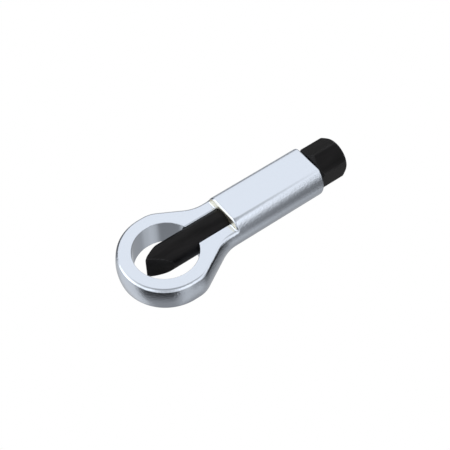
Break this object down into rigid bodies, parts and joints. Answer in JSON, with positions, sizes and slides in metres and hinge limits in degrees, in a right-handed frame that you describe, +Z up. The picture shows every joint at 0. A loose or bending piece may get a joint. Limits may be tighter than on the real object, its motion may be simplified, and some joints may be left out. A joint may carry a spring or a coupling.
{
  "type": "nut splitter",
  "caption": "Screw-driven nut splitter: a forged ring with a shank, a round chisel that crosses the ring, and a hexagon-headed forcing screw.",
  "frame": {"origin": "centre of the ring's bore, on the underside of the tool", "axes": "+X along the tool from the ring to the hexagon, +Y across the tool to the side with the guide pin, +Z up out of the underside"},
  "size_m": [0.1132, 0.0426, 0.0196],
  "materials": {
    "satin_chrome": "satin chrome plate on a drop forging",
    "black_oxide": "black oxide on hardened steel",
    "pin_steel": "ground",
    "ball_steel": "polished bearing ball"
  },
  "bodies": {
    "frame": {"frame": "satin_chrome", "guide_pin": "pin_steel"},
    "chisel": {"chisel": "black_oxide", "retaining_pins": "pin_steel", "thrust_ball": "ball_steel"},
    "screw": {"forcing_screw": "black_oxide"}
  },
  "joints": [
    {"name": "chisel_feed", "type": "slide", "parent": "frame", "child": "chisel", "axis": [1, 0, 0], "range_m": [0, 0.02]},
    {"name": "screw_turn", "type": "hinge", "parent": "chisel", "child": "screw", "pos_m": [0.06, 0, 0.0085], "axis": [1, 0, 0], "range_deg": [0, 7200]}
  ],
  "couplings": [
    {"joint": "screw_turn", "follows": "chisel_feed", "rad_per_m": 6283.2}
  ]
}
